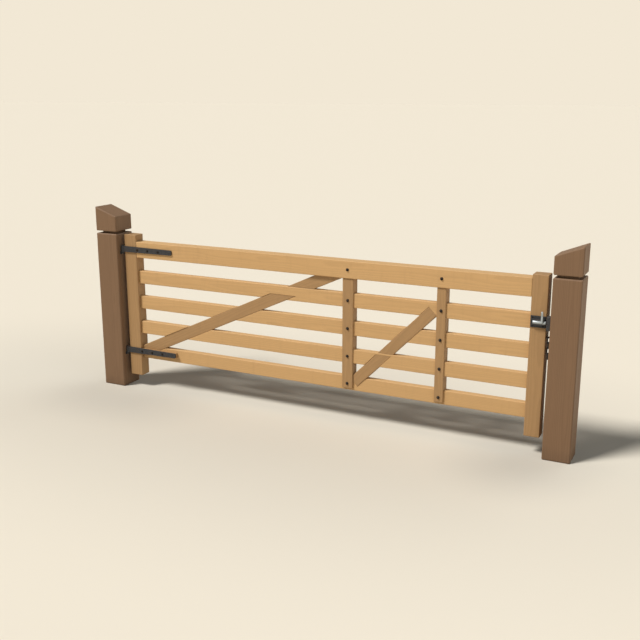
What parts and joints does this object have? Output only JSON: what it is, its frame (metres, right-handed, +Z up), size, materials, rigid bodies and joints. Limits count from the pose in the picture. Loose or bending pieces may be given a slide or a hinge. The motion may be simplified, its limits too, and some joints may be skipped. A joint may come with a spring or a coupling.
{
  "type": "five-bar farm gate",
  "caption": "Timber five-bar field gate hung between capped square posts, with strap hinges on hooks, braces, a sliding bolt and a hanging chain.",
  "frame": {"origin": "middle of the hanging post's foot, at ground level", "axes": "+X along the gate from the hanging post to the latch post, +Y away from the front, +Z up"},
  "size_m": [3.686, 0.193, 1.4209],
  "materials": {
    "post_timber": "dark stained oak, sawn",
    "rail_timber": "pale oiled oak, planed",
    "frame_timber": "mid-brown oiled oak, planed",
    "iron": "dark matt forged iron",
    "steel": "bright worn steel"
  },
  "bodies": {
    "posts": {"hanging_post": "post_timber", "hanging_post_cap": "post_timber", "latch_post": "post_timber", "latch_post_cap": "post_timber", "upper_hinge_hook": "iron", "lower_hinge_hook": "iron", "latch_keep": "iron"},
    "gate": {"hanging_stile": "frame_timber", "shutting_stile": "frame_timber", "top_rail": "rail_timber", "second_rail": "rail_timber", "third_rail": "rail_timber", "fourth_rail": "rail_timber", "bottom_rail": "rail_timber", "middle_upright": "frame_timber", "outer_upright": "frame_timber", "long_brace": "frame_timber", "short_brace": "frame_timber", "upper_hinge_strap": "iron", "lower_hinge_strap": "iron", "lower_strap_packing": "frame_timber", "latch_plate": "iron", "chain_staple": "iron", "latch_chain": "iron"},
    "bolt": {"latch_bolt": "steel"}
  },
  "joints": [
    {"name": "gate_swing", "type": "hinge", "parent": "posts", "child": "gate", "pos_m": [0.1135, -0.05, 0.299], "axis": [0, 0, -1], "range_deg": [0, 95]},
    {"name": "bolt_slide", "type": "slide", "parent": "gate", "child": "bolt", "axis": [1, 0, 0], "range_m": [-0.03, 0.018]}
  ]
}
